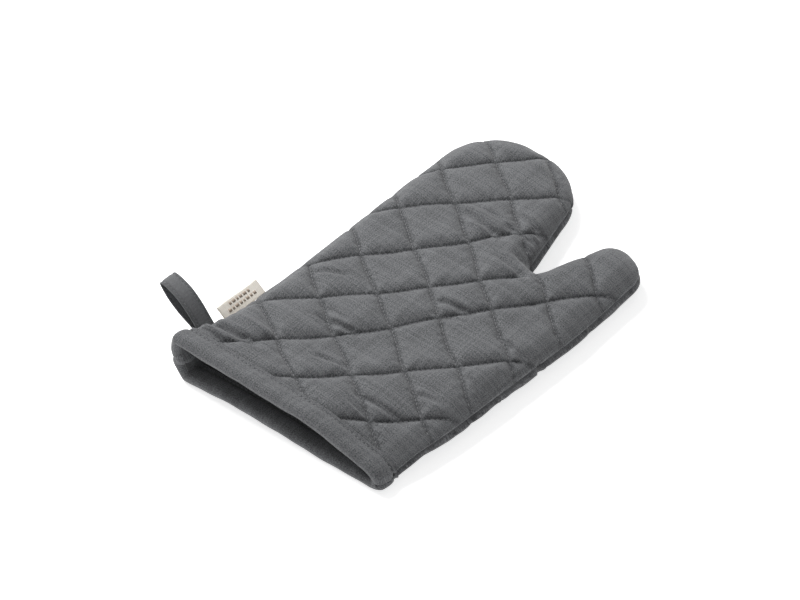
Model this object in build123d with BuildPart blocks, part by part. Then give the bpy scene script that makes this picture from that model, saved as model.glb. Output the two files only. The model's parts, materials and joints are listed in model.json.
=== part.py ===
"""Quilted oven mitt, lying palm side up.

Millimetres. +X runs across the mitt towards the thumb, +Y from the cuff to the fingertips and
+Z up. The origin is the middle of the flat underside. Two padded panels, each an outer fabric,
a batting and a lining, meet at a side seam half way up. A binding closes the cuff's raw edge,
and a hanging loop and a folded label are caught in the straight side's seam.

The fabric bends at two folds, one across the fingers and one at the thumb's root, so every layer
is cut there into a hand, a fingers and a thumb piece.
"""

import os
from functools import cache
from math import cos, radians, sin

from build123d import *

# ---------------------------------------------------------------- outline, seen from above
mitt_length = 300.0
mitt_width = 182.0
cuff_taper = 20.0  # how much narrower than the mitt the cuff is
wrist_taper = 10.0  # and the wrist, where the thumb's side starts to swell
wrist_height = 65.0  # the wrist's distance from the cuff
swell_height = 175.0  # the thumb side is widest from here up
side_lean = 9.5  # how far the straight side leans in over the mitt's length
thumb_root_width = 58.0  # from the fork of thumb and fingers to the thumb's outer side
finger_lean = 23.5  # how far the fingers' inner side leans in
fork_depth = 107.0  # from the fingertips down to where the fork's two sides would meet
thumb_length = 71.0  # from there up to the thumb's tip
thumb_reach = 24.5  # how far the thumb's inner side leans out
thumb_slope = 14.0  # how much lower the thumb's outer corner is
fingertip_radii = (43.0, 50.0)
fork_radius = 4.5
thumb_tip_radii = (16.0, 22.0)
side_radii = (250.0, 200.0)

# ---------------------------------------------------------------- thickness
palm_height = 14.0  # from the seam up to the top
back_height = 12.0  # from the underside up to the seam
palm_roll = 12.0  # radius of the palm panel's rolled edge
back_roll = 9.0
outer_thickness = 0.9
batting_thickness = 4.5
lining_thickness = 0.6
binding_thickness = 0.6
binding_width = 15.0
step_length = 1.0  # where a fabric steps up from under the binding

# ---------------------------------------------------------------- sewing
thread_width = 0.8
thread_depth = 0.3  # how far a thread sinks into the fabric
quilt_spacings = (37.0, 34.3)
quilt_angles = (49.0, -37.0)
quilt_node = (-8.0, -6.0)  # where two quilting lines cross
seam_thread_size = 0.5
cuff_stitch_inset = 2.0  # from the binding's inner edge
allowance_width = 5.0  # the seam allowance inside the mitt
overlock_width = 2.0
overlock_thickness = 0.3

# ---------------------------------------------------------------- folds and hinges
fold_gap = 0.3
fold_above_fork = 17.0
thumb_fold_drop = 60.0  # how far the thumb's fold falls from the fork to the outer side
sewn_gap = 1.5  # between the seam and the bend of what is sewn into it

# ---------------------------------------------------------------- hanging loop and label
hinge_clearance = 0.2  # from the bend at the seam to a loop's or label's own end
strap_width = 13.0
strap_thickness = 1.6
loop_length = 38.0
loop_opening = 10.0  # between the middles of the strap's two legs
loop_tip_radius = 2.5
loop_rise = 33.0  # degrees above level
loop_height = 34.0  # along the straight side, from the cuff to the loop's middle
loop_stitch_inset = 1.2  # from the strap's edge
sewn_length = 5.0  # how deep a loop's or label's end is caught in the seam
label_length = 36.0
label_width = 14.0
label_thickness = 0.8
label_leaf = 0.3  # one of the folded label's two leaves
label_rise = 40.0
label_height = 67.0
mark_depth = 0.1
mark_rows = ((4.0, 8), (7.6, 6))  # distance from the fold, and number of marks
mark_size = (1.8, 2.2)
mark_pitch = 3.4

# ---------------------------------------------------------------- derived places
run_off = 25.0  # the forms run on past the cuff and are trimmed there
margin = 30.0
left, right = -mitt_width / 2, mitt_width / 2
cuff, tip = -mitt_length / 2, mitt_length / 2
top = back_height + palm_height
total_thickness = outer_thickness + batting_thickness + lining_thickness
lining_face = outer_thickness + batting_thickness
binding_end = cuff + binding_width
panel_start = binding_end + step_length

cuff_left = Vector(left, cuff)
fingertip_left = Vector(left + side_lean, tip)
fork = Vector(right - thumb_root_width, tip - fork_depth)
fingertip_right = fork + Vector(-finger_lean, fork_depth)
thumb_inner = fork + Vector(thumb_reach, thumb_length)
thumb_outer = Vector(right, thumb_inner.Y - thumb_slope)
swell = Vector(right, cuff + swell_height)
wrist = Vector(right - wrist_taper, cuff + wrist_height)
cuff_right = Vector(right - cuff_taper, cuff)
fingertip_limit = 0.55 * (fingertip_right.X - fingertip_left.X)
tip_radii = (min(radius, fingertip_limit) for radius in fingertip_radii)
corners = (fingertip_left, fingertip_right, fork, thumb_inner, thumb_outer, swell, wrist)
corner_radii = (*tip_radii, fork_radius, *thumb_tip_radii, *side_radii)

side_way = (fingertip_left - cuff_left).normalized()
side_out = Vector(-side_way.Y, side_way.X)
finger_fold = fork.Y + fold_above_fork
thumb_fold_start = fork + Vector(thumb_reach * fold_above_fork / thumb_length, fold_above_fork)
thumb_fold_end = Vector(right, thumb_fold_start.Y - thumb_fold_drop)
thumb_fold_way = (thumb_fold_end - thumb_fold_start).normalized()
fork_way = ((fingertip_right - fork).normalized() + (thumb_inner - fork).normalized()).normalized()


# ---------------------------------------------------------------- forms that the layers are cut from
@cache
def outline(inset):
    """The mitt's outline, taken in all round by inset and running on past the cuff."""
    start = cuff_left - side_way * run_off
    end = cuff_right + (cuff_right - wrist).normalized() * run_off
    with BuildSketch() as shape:
        with BuildLine():
            FilletPolyline(start, *corners, end, radius=corner_radii)
            Line(end, start)
        make_face()
        if inset:
            offset(amount=-inset, kind=Kind.INTERSECTION)
    return shape.sketch


@cache
def form(side, inset):
    """The solid within a panel's surface, taken in by inset: "palm" above the seam, "back" below."""
    height, roll = (palm_height, palm_roll) if side == "palm" else (back_height, back_roll)
    with BuildPart() as solid:
        add(outline(inset))
        extrude(amount=height - inset)
        crown = solid.faces().sort_by(Axis.Z)[-1]
        rim = crown.edges().filter_by(lambda edge: edge.center().Y > cuff)
        fillet(rim, radius=roll - inset)
        if side == "back":
            mirror(about=Plane.XY, mode=Mode.REPLACE)
    return solid.part.moved(Location((0, 0, back_height)))


def stretch(start, end):
    """A block over the whole mitt from one distance along Y to another."""
    with BuildPart() as block:
        with Locations((0, (start + end) / 2, top / 2)):
            Box(mitt_width + 2 * margin, end - start, top + 2 * margin)
    return block.part


def shell(side, outside, inside, start, end=tip + margin):
    """One panel's layer between two insets, over a stretch along Y."""
    with BuildPart() as layer:
        add(form(side, outside))
        add(form(side, inside), mode=Mode.SUBTRACT)
        add(stretch(start, end), mode=Mode.INTERSECT)
    return layer.part


@cache
def zone(name, gap):
    """A prism over the fingers or the thumb, whose fold is moved towards the hand by gap."""
    far = fork + fork_way * (mitt_length / 2 + margin)
    if name == "fingers":
        near = fork + fork_way * ((finger_fold - gap - fork.Y) / fork_way.Y)
        points = (near, (left - margin, near.Y), (left - margin, far.Y), far)
    else:
        towards_hand = Vector(thumb_fold_way.Y, -thumb_fold_way.X)
        begin = thumb_fold_start + towards_hand * gap
        end = thumb_fold_end + towards_hand * gap + thumb_fold_way * margin
        near = begin - thumb_fold_way * ((begin.X - fork.X) / thumb_fold_way.X / 2)
        points = (near, end, (end.X, far.Y), far)
    with BuildPart() as prism:
        with BuildSketch(Plane.XY.offset(-margin)):
            with BuildLine():
                Polyline(*points, close=True)
            make_face()
        extrude(amount=top + 2 * margin)
    return prism.part


def without(piece, *cuts):
    """A piece less what passes through it."""
    with BuildPart() as rest:
        add(piece)
        for cut in cuts:
            add(cut, mode=Mode.SUBTRACT)
    return rest.part


def write(name, piece):
    """Names a finished piece and writes its STEP file."""
    piece.label = name
    export_step(piece, f"parts/{name}.step")


def write_sections(name, whole):
    """Cuts a layer at the two folds, and writes its hand, fingers and thumb pieces."""
    write(f"{name}_hand", without(whole, zone("fingers", fold_gap), zone("thumb", fold_gap)))
    for section in ("fingers", "thumb"):
        with BuildPart() as cut:
            add(whole)
            add(zone(section, 0), mode=Mode.INTERSECT)
        write(f"{name}_{section}", cut.part)


# ---------------------------------------------------------------- thread
def seam_run(inset, width, low, high):
    """A strip round the side seam, from inset inwards, between two levels from the seam."""
    with BuildPart() as strip:
        with BuildSketch(Plane.XY.offset(back_height + low)):
            add(outline(inset))
            add(outline(inset + width), mode=Mode.SUBTRACT)
        extrude(amount=high - low)
        add(stretch(panel_start, tip + margin), mode=Mode.INTERSECT)
    return strip.part


def quilt_lines():
    """Upright sheets along both families of quilting lines."""
    reach = mitt_length + mitt_width
    with BuildPart() as lines:
        for angle, spacing in zip(quilt_angles, quilt_spacings):
            count = 2 * int(reach / 2 / spacing) + 1
            with BuildSketch(Plane.XY.offset(-margin)):
                with Locations(Location((*quilt_node, 0), (0, 0, angle))):
                    with GridLocations(0, spacing, 1, count):
                        Rectangle(2 * reach, thread_width)
            extrude(amount=top + 2 * margin)
    return lines.part


def quilt_thread(side, lines):
    """One panel's quilting stitches: the runs on its face and those on its lining."""
    with BuildPart() as thread:
        add(shell(side, 0, thread_depth, panel_start))
        add(shell(side, total_thickness - thread_depth, total_thickness, panel_start))
        add(lines, mode=Mode.INTERSECT)
    return thread.part


def cuff_thread():
    """The stitching round the cuff, on the binding's outer and inner leaf."""
    line = binding_end - cuff_stitch_inset
    ends = (line - thread_width / 2, line + thread_width / 2)
    with BuildPart() as thread:
        for side in ("palm", "back"):
            add(shell(side, 0, thread_depth, *ends))
            add(shell(side, total_thickness - thread_depth, total_thickness, *ends))
    return thread.part


def overlock():
    """The thread wrapped round the inner edge of the linings' seam allowance."""
    edge = total_thickness + allowance_width
    high = lining_thickness + overlock_thickness
    width = overlock_width + overlock_thickness
    wrap = seam_run(edge - overlock_width, width, -high, high)
    return without(wrap, seam_run(lining_face, edge - lining_face, -lining_thickness, lining_thickness))


# ---------------------------------------------------------------- fabric layers
def outer_fabric(side):
    """A panel's outer fabric, which steps down under the binding at the cuff."""
    under = binding_thickness + outer_thickness
    with BuildPart() as fabric:
        add(shell(side, 0, outer_thickness, panel_start))
        add(shell(side, 0, under, binding_end, panel_start))
        add(shell(side, binding_thickness, under, cuff + binding_thickness, binding_end))
    return fabric.part


def lining_fabric(side):
    """A panel's lining, with its allowance turned in along the side seam."""
    under = lining_face - binding_thickness
    width = total_thickness + allowance_width - lining_face
    lip = (0, lining_thickness) if side == "palm" else (-lining_thickness, 0)
    with BuildPart() as fabric:
        add(shell(side, lining_face, total_thickness, panel_start))
        add(shell(side, under, total_thickness, binding_end, panel_start))
        add(shell(side, under, lining_face, cuff + binding_thickness, binding_end))
        add(seam_run(lining_face, width, *lip))
    return fabric.part


# ---------------------------------------------------------------- loop and label
def seam_plane(height, length, rise):
    """A plane across the straight side's seam, its X pointing out and up along what is sewn in."""
    start = cuff_left + side_way * (height - length / 2) + side_out * sewn_gap
    out = side_out * cos(radians(rise)) + Vector(0, 0, sin(radians(rise)))
    return Plane(origin=start + Vector(0, 0, back_height), x_dir=out, z_dir=side_way)


def sewn_end(height, length, thickness):
    """The end of the loop or label that is caught in the straight side's seam."""
    with BuildPart() as end:
        with BuildSketch(seam_plane(height, length, 0)):
            with Locations((-sewn_gap, 0)):
                Rectangle(sewn_length, thickness, align=(Align.MAX, Align.CENTER))
        extrude(amount=length)
        add(form("palm", 0) + form("back", 0), mode=Mode.INTERSECT)
    return end.part


def band(outside, start, width):
    """A band round the loop's leaf-shaped opening, whose outer face is outside the mid line."""
    half, fold = loop_opening / 2, loop_length - loop_tip_radius - strap_thickness / 2
    root = hinge_clearance + strap_thickness / 2
    plane = seam_plane(loop_height, strap_width, loop_rise).offset(start)
    with BuildPart() as strip:
        with BuildSketch(plane):
            with BuildLine():
                upper = ThreePointArc((root, 0), (fold / 2, half), (fold, loop_tip_radius))
                end = ThreePointArc(upper @ 1, (fold + loop_tip_radius, 0), (fold, -loop_tip_radius))
                ThreePointArc(end @ 1, (fold / 2, -half), (root, 0))
            leaf = make_face()
            offset(leaf, amount=outside, kind=Kind.ARC, mode=Mode.ADD)
            offset(leaf, amount=-strap_thickness / 2, kind=Kind.INTERSECTION, mode=Mode.SUBTRACT)
        extrude(amount=width)
    return strip.part


os.makedirs("parts", exist_ok=True)

# ---------------------------------------------------------------- side seam and cuff
seam_thread_at = (-seam_thread_size / 2, seam_thread_size / 2)
seam_thread = seam_run(outer_thickness, seam_thread_size, *seam_thread_at)
write_sections("side_seam_thread", seam_thread)
write_sections("overlock_thread", overlock())

with BuildPart() as cuff_stitch_thread:
    add(cuff_thread())
cuff_stitch_thread.part.label = "cuff_stitch_thread"
export_step(cuff_stitch_thread.part, "parts/cuff_stitch_thread.step")

with BuildPart() as cuff_binding:
    for side in ("palm", "back"):
        add(shell(side, 0, binding_thickness, cuff, binding_end))
        add(shell(side, total_thickness - binding_thickness, total_thickness, cuff, binding_end))
        add(shell(side, 0, total_thickness, cuff, cuff + binding_thickness))
    add(cuff_stitch_thread.part, mode=Mode.SUBTRACT)
cuff_binding.part.label = "cuff_binding"
export_step(cuff_binding.part, "parts/cuff_binding.step")

# ---------------------------------------------------------------- hanging loop
with BuildPart() as loop_sewn_end:
    add(sewn_end(loop_height, strap_width, 2 * strap_thickness))
    add(seam_thread, mode=Mode.SUBTRACT)
loop_sewn_end.part.label = "loop_sewn_end"
export_step(loop_sewn_end.part, "parts/loop_sewn_end.step")

with BuildPart() as loop_edge_stitch:
    add(band(strap_thickness / 2, loop_stitch_inset, thread_width))
    add(band(strap_thickness / 2 - thread_depth, 0, strap_width), mode=Mode.SUBTRACT)
loop_edge_stitch.part.label = "loop_edge_stitch"
export_step(loop_edge_stitch.part, "parts/loop_edge_stitch.step")

with BuildPart() as hanging_loop:
    add(band(strap_thickness / 2, 0, strap_width))
    add(loop_edge_stitch.part, mode=Mode.SUBTRACT)
hanging_loop.part.label = "hanging_loop"
export_step(hanging_loop.part, "parts/hanging_loop.step")

# ---------------------------------------------------------------- label
with BuildPart() as label_sewn_end:
    add(sewn_end(label_height, label_length, label_thickness))
    add(seam_thread, mode=Mode.SUBTRACT)
label_sewn_end.part.label = "label_sewn_end"
export_step(label_sewn_end.part, "parts/label_sewn_end.step")

label_plane = seam_plane(label_height, label_length, label_rise)
label_face = Plane(
    origin=label_plane.from_local_coords((hinge_clearance, label_thickness / 2, label_length / 2)),
    x_dir=label_plane.x_dir,
    z_dir=label_plane.y_dir,
)
with BuildPart() as label_marks:
    with BuildSketch(label_face):
        for from_fold, number in mark_rows:
            with Locations((label_width - from_fold, 0)):
                with GridLocations(0, mark_pitch, 1, number):
                    Rectangle(*mark_size)
    extrude(amount=-mark_depth)
label_marks.part.label = "label_marks"
export_step(label_marks.part, "parts/label_marks.step")

with BuildPart() as woven_label:
    leaf_gap = label_thickness - 2 * label_leaf
    beside = (Align.MIN, Align.CENTER)
    with BuildSketch(label_plane):
        with Locations((hinge_clearance, 0)):
            Rectangle(label_width, label_thickness, align=beside)
            Rectangle(label_width - label_leaf, leaf_gap, align=beside, mode=Mode.SUBTRACT)
    extrude(amount=label_length)
    add(label_marks.part, mode=Mode.SUBTRACT)
woven_label.part.label = "woven_label"
export_step(woven_label.part, "parts/woven_label.step")

# ---------------------------------------------------------------- the two padded panels
sewn_in = (loop_sewn_end.part, label_sewn_end.part)
lines = quilt_lines()
for side in ("palm", "back"):
    thread = without(quilt_thread(side, lines), *sewn_in)
    outer = without(outer_fabric(side), thread, *sewn_in)
    lining = without(lining_fabric(side), thread)
    inside = shell(side, outer_thickness, lining_face, cuff + binding_thickness)
    wadding = without(inside, outer_fabric(side), lining_fabric(side), seam_thread, *sewn_in)
    write_sections(f"{side}_quilting_thread", thread)
    write_sections(f"{side}_outer", outer)
    write_sections(f"{side}_lining", lining)
    write_sections(f"{side}_batting", wadding)
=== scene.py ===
"""The looks of a quilted oven mitt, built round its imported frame.

The mitt lies palm side up. +X runs across it towards the thumb, +Y from the cuff to the
fingertips and +Z up. Each of its two padded panels is an outer cover, a wadding and a lining,
made from one flat pattern. The covers' pillows between the quilting rows come from a cloth
simulation. Lengths here are millimetres until a mesh is made from them, in metres.
"""

import json
import math

import bmesh
import bpy
import numpy as np
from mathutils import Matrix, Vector
from mathutils.geometry import delaunay_2d_cdt


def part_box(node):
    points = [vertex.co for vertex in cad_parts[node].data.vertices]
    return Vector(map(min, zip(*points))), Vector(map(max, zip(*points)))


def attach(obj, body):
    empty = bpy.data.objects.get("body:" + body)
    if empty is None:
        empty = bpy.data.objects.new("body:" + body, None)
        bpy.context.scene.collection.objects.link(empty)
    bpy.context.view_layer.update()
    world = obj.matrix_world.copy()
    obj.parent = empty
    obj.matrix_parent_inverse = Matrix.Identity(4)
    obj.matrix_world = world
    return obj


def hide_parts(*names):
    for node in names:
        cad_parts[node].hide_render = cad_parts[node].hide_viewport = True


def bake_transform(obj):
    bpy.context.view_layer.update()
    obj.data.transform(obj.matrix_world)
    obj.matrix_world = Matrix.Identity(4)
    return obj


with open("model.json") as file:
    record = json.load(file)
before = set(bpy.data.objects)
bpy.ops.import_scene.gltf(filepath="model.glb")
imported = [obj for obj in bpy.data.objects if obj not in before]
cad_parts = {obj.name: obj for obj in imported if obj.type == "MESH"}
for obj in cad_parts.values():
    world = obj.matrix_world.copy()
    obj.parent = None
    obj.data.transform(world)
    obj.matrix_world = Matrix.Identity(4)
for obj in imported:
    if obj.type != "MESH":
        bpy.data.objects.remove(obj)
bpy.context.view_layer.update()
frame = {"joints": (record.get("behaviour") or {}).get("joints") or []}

MM = 0.001

# ---------------------------------------------------------------- sizes taken from the frame


def box_of(*names):
    """The lowest and highest corners of some nodes together, in millimetres."""
    corners = [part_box(name) for name in names]
    low = np.min([np.array(low) for low, high in corners], axis=0)
    high = np.max([np.array(high) for low, high in corners], axis=0)
    return low / MM, high / MM


OUTER = [f"{side}_outer_{part}" for side in ("palm", "back") for part in ("hand", "fingers", "thumb")]
mitt_low, mitt_high = box_of(*OUTER, "cuff_binding")
CUFF, TIP = mitt_low[1], mitt_high[1]
RIGHT = mitt_high[0]
LEFT = -RIGHT
TOP = mitt_high[2]
BINDING_END = box_of("cuff_binding")[1][1]
FOLD_Y = box_of("palm_outer_fingers")[0][1]
SEAM_Z = box_of("back_outer_hand")[1][2]
THUMB_JOINT, LOOP_JOINT, LABEL_JOINT = (
    next(joint for joint in frame["joints"] if joint["name"] == name)
    for name in ("thumb_fold", "loop_swing", "label_flap")
)

# ---------------------------------------------------------------- the mitt's outline
SIDE_LEAN = 9.5
CUFF_TAPER = 20.0
WRIST = (10.0, 65.0)  # in from the thumb's side, and up from the cuff
SWELL_HEIGHT = 175.0
THUMB_ROOT_WIDTH = 58.0
FORK_DEPTH = 107.0
FINGER_LEAN = 23.5
THUMB_LENGTH = 71.0
THUMB_REACH = 24.5
THUMB_SLOPE = 14.0
CORNER_RADII = (43.0, 50.0, 4.5, 16.0, 22.0, 250.0, 200.0)
SEAM_INSET = 3.4  # the seam lies this far inside the silhouette
SEAM_ALLOWANCE = 9.0  # the cloth past the seam, which is inside the mitt

fork = np.array([RIGHT - THUMB_ROOT_WIDTH, TIP - FORK_DEPTH])
fingertip_left = np.array([LEFT + SIDE_LEAN, TIP])
thumb_inner = fork + [THUMB_REACH, THUMB_LENGTH]
CORNERS = np.array(
    [
        [LEFT, CUFF],
        fingertip_left,
        fork + [-FINGER_LEAN, FORK_DEPTH],
        fork,
        thumb_inner,
        [RIGHT, thumb_inner[1] - THUMB_SLOPE],
        [RIGHT, CUFF + SWELL_HEIGHT],
        [RIGHT - WRIST[0], CUFF + WRIST[1]],
        [RIGHT - CUFF_TAPER, CUFF],
    ]
)

# ---------------------------------------------------------------- padding and quilting
ROLL = {"palm": 12.0, "back": 9.0}  # width over which a panel rolls down to the seam
BULGE = {"palm": 2.2, "back": 3.4}  # how far a panel stands out past its seam
COVER = 0.9  # the outer cloth's thickness
LINING = 0.5  # the lining's thickness
LINING_DEPTH = {"row": 4.6, "pillow": 6.2}  # from the panel's surface to the lining
WADDING_CLEARANCE = 0.55  # between the wadding and the cover
GROOVE = {"palm": 2.7, "back": 2.2}  # how deep a quilting row sinks
GROOVE_WIDTH = 1.9
PUFF = {"palm": 1.2, "back": 0.8}  # how proud a pillow starts, before the simulation
# Quilting rows, each an angle from +X and a distance from the origin along its left-hand normal.
ROWS = {
    "palm": (
        (51.6, 109), (45.6, 77), (49.7, 38.5), (47, 0.5), (52.5, -28), (48.3, -71), (48.7, -110),
        (-31.3, -113), (-34.7, -75.5), (-36, -40), (-37.5, -7), (-38.3, 27), (-38.6, 62.7), (-38.6, 97),
    ),
    "back": tuple(
        [(48.5, distance) for distance in range(-104, 125, 36)]
        + [(-38.0, distance) for distance in range(-124, 125, 35)]
    ),
}
# Folds in the palm cover: start, end, half width and depth, which is negative on a ridge.
FOLDS = (
    ((-90, -124), (-50, -118), 2.6, 3.4),
    ((-86, -131), (-60, -132), 2.0, 1.8),
    ((-78, -108), (-51, -106), 3.4, -1.8),
    ((-41, -71), (-13, -66), 1.9, 2.4),
    ((-45, -60), (-25, -63), 1.7, 1.3),
    ((21, -109), (51, -106), 1.8, 1.9),
    ((22, -118), (58, -120), 1.8, 1.7),
    ((8, -12), (30, -8), 1.9, 2.2),
    ((12, -22), (32, -17), 1.7, 1.3),
    ((-34, 65), (6, 59), 2.2, 2.6),
    ((-30, 74), (-6, 72), 1.8, 1.5),
    ((-3, 70), (25, 71), 1.9, 2.3),
    ((1, 85), (28, 76), 1.8, 2.3),
    ((13, 44), (38, 39), 2.0, 2.6),
    ((18, 53), (38, 50), 1.7, 1.4),
    ((57, -13), (80, -16), 1.9, 2.2),
    ((65, -53), (82, -58), 1.8, 2.0),
    ((74, -35), (86, -42), 1.7, 1.6),
    ((45, -84), (66, -80), 1.7, 1.4),
    ((-70, -40), (-52, -30), 1.7, 1.2),
    ((-20, -100), (2, -94), 1.8, 1.5),
)
SHORT_ROW = 3  # the palm's row that stops at the fork
SHORT_ROW_END = 37.0
CREASE_DEPTH = 1.3  # of the furrow along the binding's edge
CREASE_WIDTH = 1.3
PUCKER = 0.32  # how high the gathers beside a row stand
MOUTH_HEIGHT = 36.0  # of the open mouth at its straight side
FLOOR_GAP = 0.25

# ---------------------------------------------------------------- cloth, bends and thread
UV_SIZE = 100.0  # millimetres of cloth to one unit of a UV map
CLOTH_FRAMES = 20
CLOTH_SLACK = 0.025  # the share by which the cloth is longer than its pattern
CLOTH_PRESSURE = 12
CLOTH_CAP = 3.0  # the furthest a vertex may move
CLOTH_SHARE = 0.5  # of the palm's swelling, which a hand has pressed flatter than the back
CLOTH_SMOOTHING = 3
THUMB_BEND = 36.0
STITCH = {"pitch": 3.0, "length": 2.5, "thickness": 0.55}
OVERLOCK_STITCH = {"pitch": 1.1, "length": 1.5, "thickness": 0.5}
CUFF_STITCH = {"pitch": 3.4, "length": 2.7, "thickness": 0.75}
LOOP_STITCH = {"pitch": 2.6, "length": 2.0, "thickness": 0.65}
OVERLOCK_WIDTH = 1.6

# ---------------------------------------------------------------- binding, loop and label
BINDING_ROUND = 3.0  # how far the fold's turn reaches
BINDING_DEPTH = 5.6  # from the skin to the inner leaf
BINDING_CLOTH = 0.8
CUFF_STATIONS = 520
CUFF_STITCH_Y = BINDING_END - 2.0
LOOP_WIDTH = 13.0
LOOP_THICK = 1.6
LOOP_STITCH_INSET = 2.0
LOOP_STITCHES = 90  # points along each row of the loop's stitches
# The strap's mid line, out from the seam and up from it: over the upper leg and back under.
LOOP_LINE = (
    (0.3, 1.1), (6.6, 7.6), (13.4, 15.4), (20.6, 22.0), (28, 26.2), (34.0, 28.0), (36.0, 27.2), (35.4, 25.0),
    (29.5, 17.0), (21, 9.6), (12, 4.6), (5, 1.0), (0.3, -1.0),
)
LABEL_WIDTH = 36.0
LABEL_THICK = 0.34
# The label's mid line: up from the seam, over its fold and down again.
LABEL_LINE = (
    (0.3, 0.45), (3.4, 3.0), (6.8, 5.6), (8.7, 6.9), (9.1, 6.6),
    (8.8, 6.1), (7.0, 4.8), (3.6, 2.2), (0.3, -0.2),
)
# The label's rows of bars: each row's distance from the seam, and its bars' lengths.
MARKS = ((3.0, (2.4, 1.6, 2.8, 2.0, 1.4, 2.6, 1.8, 2.2)), (6.6, (1.8, 2.6, 1.5, 2.3, 2.8, 1.7)))
MARK_GAP = 1.15
MARK_HEIGHT = 2.2

# ---------------------------------------------------------------- light and camera
FLOOR_REACH = 4000.0
FLOOR_GLOW = 0.62
KEY_WAY, KEY_DISTANCE, KEY_SIZE, KEY_POWER = (-0.78, 0.10, 0.90), 1.6, 0.7, 34.5
FILL_WAY, FILL_DISTANCE, FILL_SIZE, FILL_POWER = (0.9, -0.6, 1.0), 2.2, 1.6, 3.0
SURROUND = 0.39
CAMERA_AZIMUTH, CAMERA_ELEVATION = 39.2, 44
CAMERA_LENS = 150
CAMERA_DISTANCE = 2.136
CAMERA_TARGET = (-27.0, -6.7, 0.0)


def smooth(value, low, high):
    """0 below low, 1 above high, and an even turn between them."""
    share = np.clip((value - low) / (high - low), 0, 1)
    return share * share * (3 - 2 * share)


def unit(vectors):
    """The vectors, each scaled to a length of one."""
    return vectors / np.maximum(np.linalg.norm(vectors, axis=-1, keepdims=True), 1e-9)


def spaced(line, step):
    """Points evenly spaced along an open line, both ends kept."""
    lengths = np.r_[0, np.cumsum(np.linalg.norm(np.diff(line, axis=0), axis=1))]
    at = np.linspace(0, lengths[-1], max(2, int(round(lengths[-1] / step)) + 1))
    return np.stack([np.interp(at, lengths, line[:, axis]) for axis in range(line.shape[1])], 1)


def outline(inset, run_on=0.0):
    """The silhouette taken in by inset, from the cuff's left corner round to its right one."""
    ways = unit(np.diff(CORNERS, axis=0))
    inward = np.stack([ways[:, 1], -ways[:, 0]], 1)
    starts = CORNERS[:-1] + inward * inset
    points = [starts[0] + ways[0] * ((CUFF - run_on - starts[0][1]) / ways[0][1])]
    for i, radius in enumerate(CORNER_RADII):
        a, b = ways[i], ways[i + 1]
        cross = a[0] * b[1] - a[1] * b[0]
        gap = starts[i + 1] - starts[i]
        corner = starts[i] + a * ((gap[0] * b[1] - gap[1] * b[0]) / cross)
        turn = math.atan2(cross, a @ b)
        round_by = radius + (inset if turn > 0 else -inset)
        begin = corner - a * round_by * math.tan(abs(turn) / 2)
        centre = begin + np.array([-a[1], a[0]]) * math.copysign(round_by, turn)
        for share in np.linspace(0, 1, max(3, int(round_by * abs(turn) / 2))):
            c, s = math.cos(turn * share), math.sin(turn * share)
            arm = begin - centre
            points.append(centre + [c * arm[0] - s * arm[1], s * arm[0] + c * arm[1]])
    end, way = starts[-1], ways[-1]
    points.append(end + way * ((CUFF - run_on - end[1]) / way[1]))
    return np.array(points)


def nearest(points, line):
    """Each point's distance to an open line, and the nearest place on it."""
    start, way = line[:-1], np.diff(line, axis=0)
    best, place = np.full(len(points), np.inf), np.zeros((len(points), 2))
    for begin, step in zip(start, way):
        share = np.clip(((points - begin) @ step) / max(step @ step, 1e-9), 0, 1)
        on = begin + share[:, None] * step
        far = np.linalg.norm(points - on, axis=1)
        closer = far < best
        best[closer], place[closer] = far[closer], on[closer]
    return best, place


def inside(points, ring):
    """Whether each point is within a closed ring."""
    a, b = ring, np.roll(ring, -1, axis=0)
    odd = np.zeros(len(points), bool)
    for (x0, y0), (x1, y1) in zip(a, b):
        if y0 != y1:
            crosses = (y0 > points[:, 1]) != (y1 > points[:, 1])
            odd ^= crosses & (points[:, 0] < (x1 - x0) * (points[:, 1] - y0) / (y1 - y0) + x0)
    return odd


SEAM = outline(SEAM_INSET)
SEAM_RUN = outline(SEAM_INSET, run_on=60.0)
FORK_FLOOR = SEAM[np.argmin(np.linalg.norm(SEAM - (fork + [0, 12.0]), axis=1))]
THUMB_WAY = np.array(THUMB_JOINT["axis"][:2], float)
THUMB_OUT = np.array([-THUMB_WAY[1], THUMB_WAY[0]])


# ---------------------------------------------------------------- the panels' resting shape
CUFF_ROLL = 3.0  # the tight turns of the mouth's upright side
CUFF_FLARE = 5.5  # how far that side leans out at the cuff
CUFF_SLANT = 4.5  # how far the cuff's edge draws back towards the thumb's side
SEAM_CLIMB = 5.0  # how far the seam rises at the cuff on the straight side
SEAM_DROP = 5.5  # how far it sinks there on the thumb's side
BACK_LIFT = 3.2  # how far the back stands off the floor at the cuff
ROLL_RUN = 11.0  # how much further the cloth runs round the rolled edge


def across(points):
    """How far across the mitt points are, from 0 at the straight side to 1 at the thumb's."""
    return np.clip((points[:, 0] - LEFT) / (RIGHT - CUFF_TAPER - LEFT), 0, 1)


def seam_height(points):
    """The side seam's height: it climbs at the cuff's open corner and drops at its shut one."""
    near = 1 - smooth(points[:, 1], CUFF, CUFF + 42)
    share = across(points)
    return SEAM_Z + near * (SEAM_CLIMB * (1 - share) - SEAM_DROP * share)


def top_height(points):
    """The palm's height away from its edges, with the mouth open at its straight side."""
    share = across(points)
    x, y = points[:, 0], points[:, 1]
    mouth = MOUTH_HEIGHT - 9.0 * share - 13.0 * smooth(share, 0.62, 1.05)
    body = TOP - 1.5 - 3.0 * smooth(y, 70, TIP) - 2.0 * smooth(x, 45, 85)
    body = body + 0.7 * np.sin(x / 31 + y / 47) + 0.6 * np.sin(x / 19 - y / 26 + 1.3)
    near = 1 - smooth(y, CUFF - 10, CUFF + 100)
    return body + near * (mouth - body)


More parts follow.
